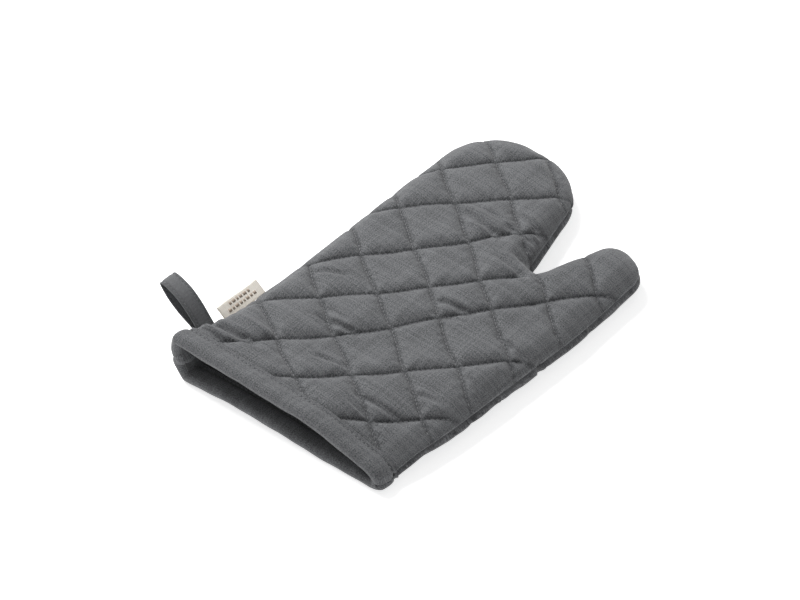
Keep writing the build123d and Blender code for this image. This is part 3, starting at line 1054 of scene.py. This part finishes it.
def twisted_thread(name, dark, light):
    """Cotton sewing thread, its twist showing as fine slanting bands."""
    shader = Shader(name, Sheen_Weight=0.2, Specular_IOR_Level=0.3)
    place = shader.node("ShaderNodeTexCoord", (), (), output=3)
    fibres = shader.noise(place, 900.0, 3.0, 0.65)
    twist = shader.node(
        "ShaderNodeTexWave",
        {"bands_direction": "DIAGONAL"},
        {"Vector": place, "Scale": 900.0, "Distortion": 2.0},
        output=1,
    )
    tone = fibres * 0.6 + twist * 0.4
    shader.feed("Base Color", shader.blend(tone, (*dark, 1), (*light, 1)))
    shader.feed("Roughness", 0.75 + fibres * 0.15)
    shader.bump(twist, 0.05)
    return shader.material


def fleece(name):
    """Loose cotton wadding, off-white and fluffy."""
    shader = Shader(name, Sheen_Weight=0.4)
    place = shader.node("ShaderNodeTexCoord", (), (), output=3)
    clumps = shader.noise(place, 260.0, 4.0, 0.6)
    hairs = shader.noise(place, 1800.0, 3.0, 0.7)
    colour = shader.blend(clumps, (0.62, 0.60, 0.55, 1), (0.85, 0.84, 0.80, 1))
    shader.feed("Base Color", colour)
    shader.feed("Roughness", 0.92 + (hairs - 0.5) * 0.1)
    shader.bump(clumps + hairs * 0.5, 0.5)
    return shader.material


def ink(name):
    """The label's dark marks, slightly patchy as on cotton tape."""
    shader = Shader(name, Specular_IOR_Level=0.2)
    place = shader.node("ShaderNodeTexCoord", (), (), output=3)
    patchy = shader.noise(place, 1500.0, 3.0, 0.7)
    shader.feed("Base Color", shader.blend(patchy, (0.27, 0.22, 0.18, 1), (0.50, 0.42, 0.35, 1)))
    shader.feed("Roughness", 0.8 + patchy * 0.15)
    shader.bump(patchy, 0.03)
    return shader.material


def floor_paint(name):
    """A plain white floor."""
    shader = Shader(name, Specular_IOR_Level=0.0, Roughness=1.0)
    shader.surface.inputs["Base Color"].default_value = (0.85, 0.85, 0.85, 1)
    shader.surface.inputs["Emission Color"].default_value = (1, 1, 1, 1)
    shader.surface.inputs["Emission Strength"].default_value = FLOOR_GLOW
    return shader.material


CANVAS = cloth("grey_canvas", (0.050, 0.0515, 0.054), (0.185, 0.189, 0.196), 0.8, 0.2, fleck=1.8, groove_shade=0.45)
COTTON = cloth("lining_cotton", (0.055, 0.057, 0.060), (0.150, 0.153, 0.158), 0.42, 0.08, fleck=0.6)
TWILL = cloth("binding_cloth", (0.052, 0.0535, 0.056), (0.185, 0.189, 0.196), 0.7, 0.2, fleck=1.8)
STRAP = ridged("strap_twill", (0.060, 0.062, 0.065), (0.215, 0.219, 0.226), 1.1, 0.14)
LABEL = cloth("label_cotton", (0.78, 0.71, 0.62), (1.0, 0.97, 0.90), 0.4, 0.06, fleck=0.5)
THREAD = twisted_thread("grey_thread", (0.090, 0.093, 0.098), (0.25, 0.255, 0.262))
WADDING = fleece("white_wadding")
INK = ink("label_ink")


# ---------------------------------------------------------------- the padded panels
def make_cover(panel):
    """A panel's outer cloth, in one piece for the hand and fingers and one for the thumb."""
    side, flat = panel.side, panel.fine_flat
    inner = panel.fine - panel.fine_normals * COVER
    if side == "back":
        inner[:, 2] = np.maximum(inner[:, 2], panel.fine[:, 2] + 0.05)
    uv = cloth_place(side, flat)
    faces = panel.fine_faces
    is_thumb = panel.pattern.is_thumb(flat[faces].mean(axis=1))
    for part, chosen in by_part(is_thumb):
        piece = add_shell(
            f"{side}_cover{part}", panel.fine, inner, faces[chosen], panel.fine_normals,
            uv, panel.fine_gap, CANVAS,
        )
        finish_layer(piece, panel, part, "outer")


def finish_layer(piece, panel, part, layer):
    """How one layer's piece is placed, and the nodes it stands for, which it hides."""
    ride_part(piece, panel.pattern, part)
    if part:
        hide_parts(f"{panel.side}_{layer}_thumb")
    else:
        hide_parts(f"{panel.side}_{layer}_hand", f"{panel.side}_{layer}_fingers")


def make_padding(panel):
    """A panel's wadding and lining, each cut at the thumb as its cover is."""
    side, flat, faces = panel.side, panel.flat, panel.faces
    face, normals = panel.lining_face()
    back_of_lining = face - normals * LINING
    uv = cloth_place(side, flat)
    middle = flat[faces].mean(axis=1)
    is_thumb = panel.pattern.is_thumb(middle)
    padded = (nearest(middle, SEAM_RUN)[0] > 2.5) & (middle[:, 1] > CUFF + 6)
    top = panel.cover - panel.normals * (COVER + WADDING_CLEARANCE + panel.spare)[:, None]
    thick = np.maximum(np.einsum("ij,ij->i", top - face, normals) - 0.1, 0.3)
    bottom = top - normals * thick[:, None]
    for part, chosen in by_part(is_thumb):
        wadding = add_shell(
            f"{side}_wadding{part}", top, bottom, faces[chosen & padded], panel.normals,
            uv, panel.gap, WADDING,
        )
        finish_layer(wadding, panel, part, "batting")
        lining = add_shell(
            f"{side}_lining{part}", face, back_of_lining, faces[chosen], normals,
            uv, panel.gap, COTTON,
        )
        finish_layer(lining, panel, part, "lining")
        size = np.ptp(flat[np.unique(faces[chosen])], axis=0)
        area = shoelace(flat, faces[chosen])
    panel.lining = back_of_lining
    panel.lining_normals = normals


def make_quilting(panel):
    """The quilting's stitches on the cover, and their runs on the lining's inside."""
    side, edges = panel.side, panel.pattern.row_edges
    middles = panel.flat[edges].mean(axis=1)
    is_thumb = panel.pattern.is_thumb(middles)
    runs = (
        ("quilting_stitches", panel.cover, panel.normals, 0.22),
        ("inner_stitches", panel.lining, -panel.lining_normals, 0.12),
    )
    for name, points, ups, proud in runs:
        for part, chosen in by_part(is_thumb):
            piece = sew(f"{side}_{name}{part}", points + ups * proud, edges[chosen], ups, THREAD, **STITCH)
            ride_part(piece, panel.pattern, part)
            if name == "quilting_stitches":
                nodes = ("thumb",) if part else ("hand", "fingers")
                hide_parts(*(f"{side}_quilting_thread_{node}" for node in nodes))


# ---------------------------------------------------------------- the side seam
def seam_stations(inset, step):
    """Points evenly along the seam from cuff to cuff, taken in by inset."""
    line = spaced(outline(inset), step)
    return line[line[:, 1] > BINDING_END]


def make_side_seam(pattern):
    """The stitches that join the panels, and the overlocked edge of the seam inside."""
    line = seam_stations(SEAM_INSET + 0.7, 3.0)
    points = np.column_stack([line, seam_height(line)])
    edge = seam_stations(SEAM_INSET + SEAM_ALLOWANCE, 1.3)
    zigzag = np.where(np.arange(len(edge)) % 2, 0.0, -OVERLOCK_WIDTH)
    way = unit(np.gradient(edge, axis=0))
    edge = edge + np.column_stack([way[:, 1], -way[:, 0]]) * zigzag[:, None]
    loops = np.column_stack([edge, seam_height(edge)])
    for name, run, sizes in (("side_seam", points, STITCH), ("overlock", loops, OVERLOCK_STITCH)):
        edges = np.array(chain(len(run)))
        is_thumb = pattern.is_thumb(run[edges].mean(axis=1)[:, :2])
        node = f"{name}_thread"
        for part, chosen in by_part(is_thumb):
            ups = np.tile((0, 0, 1), (len(run), 1))
            piece = sew(f"{name}_stitches{part}", run, edges[chosen], ups, THREAD, **sizes)
            ride_part(piece, pattern, part)
            if part:
                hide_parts(f"{node}_thumb")
            else:
                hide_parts(f"{node}_hand", f"{node}_fingers")


# ---------------------------------------------------------------- the cuff's binding
def cuff_ring(y, count=150):
    """The mitt's outer skin at one height as a closed ring, with its outward directions."""
    crossing = [np.interp(y, side[:, 1], side[:, 0]) for side in (SEAM_RUN[:40], SEAM_RUN[::-1][:40])]
    share = (1 - np.cos(np.linspace(0, math.pi, count))) / 2
    x = crossing[0] + (crossing[1] - crossing[0]) * share
    line = np.column_stack([x, np.full(count, y)])
    ring = np.vstack([skin("palm", line)[:-1], skin("back", line)[::-1][:-1]])
    way = np.roll(ring, -1, axis=0) - np.roll(ring, 1, axis=0)
    outward = unit(np.column_stack([-way[:, 2], np.zeros(len(ring)), way[:, 0]]))
    return ring, outward


def even_ring(y, count):
    """The cuff's ring at one height with evenly spaced stations."""
    ring, outward = cuff_ring(y)
    closed = np.vstack([ring, ring[:1]])
    turned = np.vstack([outward, outward[:1]])
    lengths = np.r_[0, np.cumsum(np.linalg.norm(np.diff(closed, axis=0), axis=1))]
    at = np.linspace(0, lengths[-1], count, endpoint=False)
    points = np.stack([np.interp(at, lengths, closed[:, i]) for i in range(3)], 1)
    ways = unit(np.stack([np.interp(at, lengths, turned[:, i]) for i in range(3)], 1))
    for _ in range(3):
        ways = unit(np.roll(ways, 1, axis=0) + 2 * ways + np.roll(ways, -1, axis=0))
    return points, ways, lengths[-1]


def binding_section():
    """The folded binding's mid line: each point's depth in from the skin, and its height."""
    top, bottom = BINDING_END + 0.5, CUFF + BINDING_ROUND
    depths = (0.25, BINDING_DEPTH)
    leaf = np.linspace(top, bottom, 12)
    turn = np.linspace(0, math.pi, 11)[1:-1]
    centre = (depths[0] - depths[1]) / 2
    outside = [(depths[0], y) for y in leaf]
    fold = [(centre + (depths[0] - centre) * math.cos(a), bottom - BINDING_ROUND * math.sin(a)) for a in turn]
    inside_leaf = [(-depths[1], y) for y in leaf[::-1]]
    return outside + fold + inside_leaf


def binding_wave(around, y, leaf):
    """How the binding's surface swells and pulls in, most of all at its row of stitches."""
    pull = np.exp(-(((y - CUFF_STITCH_Y) / 1.5) ** 2))
    edge = np.exp(-(((y - BINDING_END) / 1.2) ** 2))
    gather = 0.5 + 0.5 * np.sin(around * 2 * math.pi / 3.1 + 0.6 * np.sin(around / 9))
    crown = np.sin(math.pi * np.clip((CUFF_STITCH_Y - y) / 13.0, 0, 1))
    slow = 0.30 * np.sin(around / 7.7 + y / 5) + 0.22 * np.sin(around / 3.4 - y / 3 + leaf)
    body = smooth(CUFF_STITCH_Y - y, 0.5, 5.0)
    return -1.0 * pull - 0.3 * gather * pull + 0.22 * edge * gather + slow * 0.8 * body + 1.1 * crown


def make_binding():
    """A strip of cloth folded over the cuff's edge, and the stitches through both its leaves."""
    section = binding_section()
    rows, uv_rows = [], []
    travel = 0.0
    for number, (depth, y) in enumerate(section):
        ring, ways, length = even_ring(max(y, CUFF + BINDING_ROUND), CUFF_STATIONS)
        around = np.arange(CUFF_STATIONS) * length / CUFF_STATIONS
        inner = number >= len(section) / 2
        wave = binding_wave(around, y, 2.0 * inner)
        points = ring + ways * (depth + (-wave if inner else wave))[:, None]
        points[:, 1] += y - max(y, CUFF + BINDING_ROUND)
        if rows:
            travel += np.median(np.linalg.norm(points - rows[-1], axis=1))
        rows.append(points)
        uv_rows.append(np.column_stack([around, np.full(CUFF_STATIONS, travel)]))
    half = BINDING_CLOTH / 2
    mid = np.array(rows)
    mid[..., 2] = np.maximum(mid[..., 2], FLOOR_GAP + half)
    along = np.gradient(mid, axis=0)
    round_ = np.roll(mid, -1, axis=1) - np.roll(mid, 1, axis=1)
    outward = unit(np.cross(round_, along))
    if outward[0, CUFF_STATIONS // 4] @ [0, 0, 1] < 0:
        outward = -outward
    count, wide = len(mid), CUFF_STATIONS
    outer = mid + outward * half
    inner = mid - outward * half
    loop = np.vstack([outer.reshape(-1, 3), inner[::-1].reshape(-1, 3)])
    uv = np.vstack([np.vstack(uv_rows), np.vstack(uv_rows[::-1])])
    faces = []
    for row in range(2 * count):
        below = (row + 1) % (2 * count)
        for i in range(wide):
            j = (i + 1) % wide
            faces.append((row * wide + i, row * wide + j, below * wide + j, below * wide + i))
    piece = add_mesh("cuff_binding_strip", loop, faces, uv=uv, material=TWILL)
    turn_outward(piece)
    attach(piece, "hand")
    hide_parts("cuff_binding")
    length * MM
    0.98 * travel * length * MM * MM
    make_cuff_stitches(section, outer, outward)


def make_cuff_stitches(section, outer, outward):
    """The row of stitches that holds the binding, seen on both its leaves."""
    heights = np.array([y for depth, y in section])
    half = len(section) // 2
    near = [int(np.argmin(np.abs(heights[:half] - CUFF_STITCH_Y)))]
    near.append(half + int(np.argmin(np.abs(heights[half:] - CUFF_STITCH_Y))))
    points, ups, edges = [], [], []
    for number, row in enumerate(near):
        points.append(outer[row] + outward[row] * 0.08)
        ups.append(outward[row])
        first = number * CUFF_STATIONS
        edges += [(a + first, b + first) for a, b in chain(CUFF_STATIONS, closed=True)]
    piece = sew("cuff_stitches", np.vstack(points), edges, np.vstack(ups), THREAD, **CUFF_STITCH)
    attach(piece, "hand")
    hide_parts("cuff_stitch_thread")


def turn_outward(piece):
    """Makes a closed mesh's faces point out of it."""
    mesh = piece.data
    sheet = bmesh.new()
    sheet.from_mesh(mesh)
    bmesh.ops.recalc_face_normals(sheet, faces=sheet.faces)
    sheet.to_mesh(mesh)
    sheet.free()


# ---------------------------------------------------------------- tapes sewn into the seam
class Tape:
    """A folded tape that stands out of the straight side's seam, swept along its mid line."""

    def __init__(self, joint, line, width, thickness):
        axis = np.array(joint["axis"], float)
        self.side = unit(axis if axis[1] > 0 else -axis)
        self.out = unit(np.cross(self.side, [0, 0, 1]))
        if self.out[0] > 0:
            self.out = -self.out
        self.root = np.array(joint["pos_m"], float) / MM
        self.width, self.thickness = width, thickness
        self.line = smooth_line(np.array(line, float), 1.0)

    def place(self, along, across_, proud):
        """Points along the tape, across its width and proud of its mid line, and their ups."""
        lengths = np.r_[0, np.cumsum(np.linalg.norm(np.diff(self.line, axis=0), axis=1))]
        at = np.clip(along, 0, lengths[-1])
        spot = np.stack([np.interp(at, lengths, self.line[:, i]) for i in range(2)], -1)
        ways = unit(np.gradient(self.line, axis=0))
        way = unit(np.stack([np.interp(at, lengths, ways[:, i]) for i in range(2)], -1))
        normal = np.stack([-way[..., 1], way[..., 0]], -1)
        spot = spot + normal * np.asarray(proud)[..., None]
        up = np.array([0, 0, 1.0])
        point = self.root + spot[..., :1] * self.out + spot[..., 1:] * up
        point = point + np.asarray(across_)[..., None] * self.side
        return point, normal[..., :1] * self.out + normal[..., 1:] * up

    def length(self):
        """How long the tape's mid line is."""
        return np.linalg.norm(np.diff(self.line, axis=0), axis=1).sum()

    def sweep(self, name, stations, material, profile, warp):
        """The tape's solid: its rounded section, carried along the line and warped a little."""
        along = np.linspace(0, self.length(), stations)
        ring = np.array(profile)
        size = len(ring)
        across_ = np.tile(ring[:, 0], stations)
        far = np.repeat(along, size)
        proud = np.tile(ring[:, 1], stations)
        points, _ = self.place(far, across_, proud)
        points = points + warp(far / self.length(), across_ / self.width)
        faces = [
            (r * size + i, r * size + (i + 1) % size, (r + 1) * size + (i + 1) % size, (r + 1) * size + i)
            for r in range(stations - 1)
            for i in range(size)
        ]
        faces += [tuple(range(size))[::-1], tuple(range((stations - 1) * size, stations * size))]
        uv = np.column_stack([across_ + proud, far])
        piece = add_mesh(name, points, faces, uv=uv, material=material)
        turn_outward(piece)
        return piece


def smooth_line(points, step):
    """A cubic spline through given points, sampled evenly."""
    padded_ = np.vstack([2 * points[0] - points[1], points, 2 * points[-1] - points[-2]])
    found = []
    for i in range(len(points) - 1):
        a, b, c, d = padded_[i : i + 4]
        square, cube = 2 * a - 5 * b + 4 * c - d, 3 * b - a - 3 * c + d
        for t in np.linspace(0, 1, 16, endpoint=False):
            found.append(0.5 * (2 * b + (c - a) * t + square * t**2 + cube * t**3))
    return spaced(np.array(found + [points[-1]]), step)


def tape_profile(width, thickness, groove_at=()):
    """A tape's section: flat with rounded edges, and a groove for each row of edge stitches."""
    half = thickness / 2
    xs = np.linspace(half, width - half, 34)
    dip = np.zeros_like(xs)
    for groove in groove_at:
        dip += 0.34 * thickness * np.exp(-(((xs - groove) / 0.75) ** 2))
    upper = list(zip(xs, half - dip))
    lower = list(zip(xs[::-1], -half + dip[::-1]))
    turn = np.linspace(-math.pi / 2, math.pi / 2, 6)[1:-1]
    right = [(width - half + half * math.cos(a), half * math.sin(a)) for a in turn[::-1]]
    left = [(half - half * math.cos(a), -half * math.sin(a)) for a in turn]
    return upper + right + lower + left


def make_loop():
    """The hanging loop: a folded strap, doubled over, with a row of stitches along each edge."""
    width = LOOP_WIDTH
    near, far = LOOP_STITCH_INSET, width - LOOP_STITCH_INSET
    tape = Tape(LOOP_JOINT, LOOP_LINE, width, LOOP_THICK)

    def warp(along, share):
        """How far the strap's points are moved: half its width back, and a little twist."""
        twist = 1.2 * (share - 0.5) * np.sin(along * 2 * math.pi) + 0.5 * np.sin(along * 9.0)
        lift = np.outer(twist * smooth(along, 0.02, 0.15) * (1 - smooth(along, 0.85, 0.98)), (0, 0, 1))
        return lift - width / 2 * tape.side

    profile = tape_profile(width, LOOP_THICK, (near, far))
    piece = tape.sweep("hanging_loop_strap", 110, STRAP, profile, warp)
    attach(piece, "loop")
    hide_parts("hanging_loop")
    count = LOOP_STITCHES
    along = np.linspace(1.0, tape.length() - 1.0, count)
    points, ups, edges = [], [], []
    for number, (across_, face) in enumerate(((near, 1), (far, 1), (near, -1), (far, -1))):
        spot, up = tape.place(along, np.full(count, across_), np.full(count, face * 0.30 * LOOP_THICK))
        points.append(spot + warp(along / tape.length(), np.full(count, across_ / width)))
        ups.append(up * face)
        edges += [(a + number * count, b + number * count) for a, b in chain(count)]
    stitches = sew("loop_stitches", np.vstack(points), edges, np.vstack(ups), THREAD, **LOOP_STITCH)
    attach(stitches, "loop")
    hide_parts("loop_edge_stitch")
    tape.length() * MM


def make_label():
    """A folded cream tape with two rows of plain bars where a label has its words."""
    tape = Tape(LABEL_JOINT, LABEL_LINE, LABEL_WIDTH, LABEL_THICK)

    def warp(along, share):
        """How far the label's points are moved: half its width back, and a slight wave."""
        fold = np.sin(np.clip(along, 0, 1) * math.pi)
        wave = 0.55 * np.sin(share * 5.2 + 0.6) * fold
        return np.outer(wave, (0, 0, 1)) - LABEL_WIDTH / 2 * tape.side

    profile = tape_profile(LABEL_WIDTH, LABEL_THICK)
    piece = tape.sweep("cotton_label", 46, LABEL, profile, warp)
    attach(piece, "label")
    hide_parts("woven_label")
    points, faces = [], []
    for from_root, lengths in MARKS:
        across_ = (LABEL_WIDTH - sum(lengths) - MARK_GAP * (len(lengths) - 1)) / 2
        for length in lengths:
            add_bar(tape, warp, points, faces, from_root, across_, length)
            across_ += length + MARK_GAP
    marks = add_mesh("label_marks_print", np.array(points), faces, material=INK)
    turn_outward(marks)
    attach(marks, "label")
    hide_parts("label_marks")
    tape.length() * MM


def add_bar(tape, warp, points, faces, from_root, across_, length):
    """One plain bar of print, a thin slab on the label's upper face."""
    first = len(points)
    for proud in (LABEL_THICK / 2 - 0.02, LABEL_THICK / 2 + 0.08):
        for a in np.linspace(0, length, 4):
            for b in (0.0, MARK_HEIGHT):
                far = np.array([from_root + b])
                side = np.array([across_ + a])
                spot, _ = tape.place(far, side, np.array([proud]))
                points.append((spot + warp(far / tape.length(), side / LABEL_WIDTH))[0])
    for i in range(3):
        a = first + 2 * i
        faces += [(a, a + 1, a + 3, a + 2), (a + 8, a + 10, a + 11, a + 9)]
        faces += [(a, a + 2, a + 10, a + 8), (a + 1, a + 9, a + 11, a + 3)]
    faces += [(first, first + 8, first + 9, first + 1), (first + 6, first + 7, first + 15, first + 14)]


def dress_sewn_ends():
    """The loop's and the label's ends inside the seam keep their shape and get their cloth."""
    for name, material in (("loop_sewn_end", STRAP_END), ("label_sewn_end", LABEL_END)):
        piece = bpy.data.objects[name]
        piece.data.materials.clear()
        piece.data.materials.append(material)


def plain_cloth(name, dark, light):
    """Woven cloth for a hidden end, patterned by its place in the object."""
    shader = Shader(name, Sheen_Weight=0.15)
    place = shader.node("ShaderNodeTexCoord", (), (), output=3)
    fibres = shader.noise(place, 1600.0, 3.0, 0.7)
    shader.feed("Base Color", shader.blend(fibres, (*dark, 1), (*light, 1)))
    shader.feed("Roughness", 0.88 + (fibres - 0.5) * 0.12)
    shader.bump(fibres, 0.12)
    return shader.material


STRAP_END = plain_cloth("strap_end_twill", (0.052, 0.054, 0.057), (0.165, 0.169, 0.175))
LABEL_END = plain_cloth("label_end_cotton", (0.66, 0.60, 0.52), (0.97, 0.93, 0.86))


# ---------------------------------------------------------------- floor, lights and camera
def make_floor():
    """A wide white floor."""
    reach = FLOOR_REACH
    corners = [(-reach, -reach, 0), (reach, -reach, 0), (reach, reach, 0), (-reach, reach, 0)]
    floor = add_mesh("floor", corners, [(0, 1, 2, 3)], material=floor_paint("floor_white"))


def add_light(name, way, distance, size, power):
    """A square soft light, aimed at the mitt's middle."""
    lamp = bpy.data.lights.new(name, "AREA")
    lamp.shape = "SQUARE"
    lamp.size = size
    lamp.energy = power
    light = bpy.data.objects.new(name, lamp)
    light.location = Vector(way).normalized() * distance
    light.rotation_euler = Vector(way).to_track_quat("Z", "Y").to_euler()
    bpy.context.collection.objects.link(light)


def make_lights():
    """A large key light high on the straight side, a weak fill and a bright surround."""
    add_light("key", KEY_WAY, KEY_DISTANCE, KEY_SIZE, KEY_POWER)
    add_light("fill", FILL_WAY, FILL_DISTANCE, FILL_SIZE, FILL_POWER)
    world = bpy.data.worlds.new("surround")
    world.use_nodes = True
    world.node_tree.nodes["Background"].inputs["Color"].default_value = (1, 1, 1, 1)
    world.node_tree.nodes["Background"].inputs["Strength"].default_value = SURROUND
    bpy.context.scene.world = world
    bpy.context.scene.view_settings.view_transform = "Standard"


def make_camera():
    """A long lens that looks down on the mitt from the cuff's straight side."""
    azimuth, elevation = math.radians(CAMERA_AZIMUTH), math.radians(CAMERA_ELEVATION)
    back = Vector(
        (
            math.sin(azimuth) * math.cos(elevation),
            -math.cos(azimuth) * math.cos(elevation),
            math.sin(elevation),
        )
    )
    lens = bpy.data.cameras.new("camera")
    lens.lens = CAMERA_LENS
    lens.clip_end = 50
    camera = bpy.data.objects.new("camera", lens)
    camera.location = Vector(CAMERA_TARGET) * MM + back * CAMERA_DISTANCE
    camera.rotation_euler = back.to_track_quat("Z", "Y").to_euler()
    bpy.context.collection.objects.link(camera)
    bpy.context.scene.camera = camera


# ---------------------------------------------------------------- the whole mitt
STITCHES = stitch_tree()
palm, back = Panel("palm"), Panel("back")
swell = swollen(palm, back)
for panel, moved in zip((palm, back), swell):
    panel.finish_cover(moved)
    make_cover(panel)
    make_padding(panel)
    make_quilting(panel)
make_side_seam(palm.pattern)
make_binding()
make_loop()
make_label()
dress_sewn_ends()
make_floor()
make_lights()
make_camera()
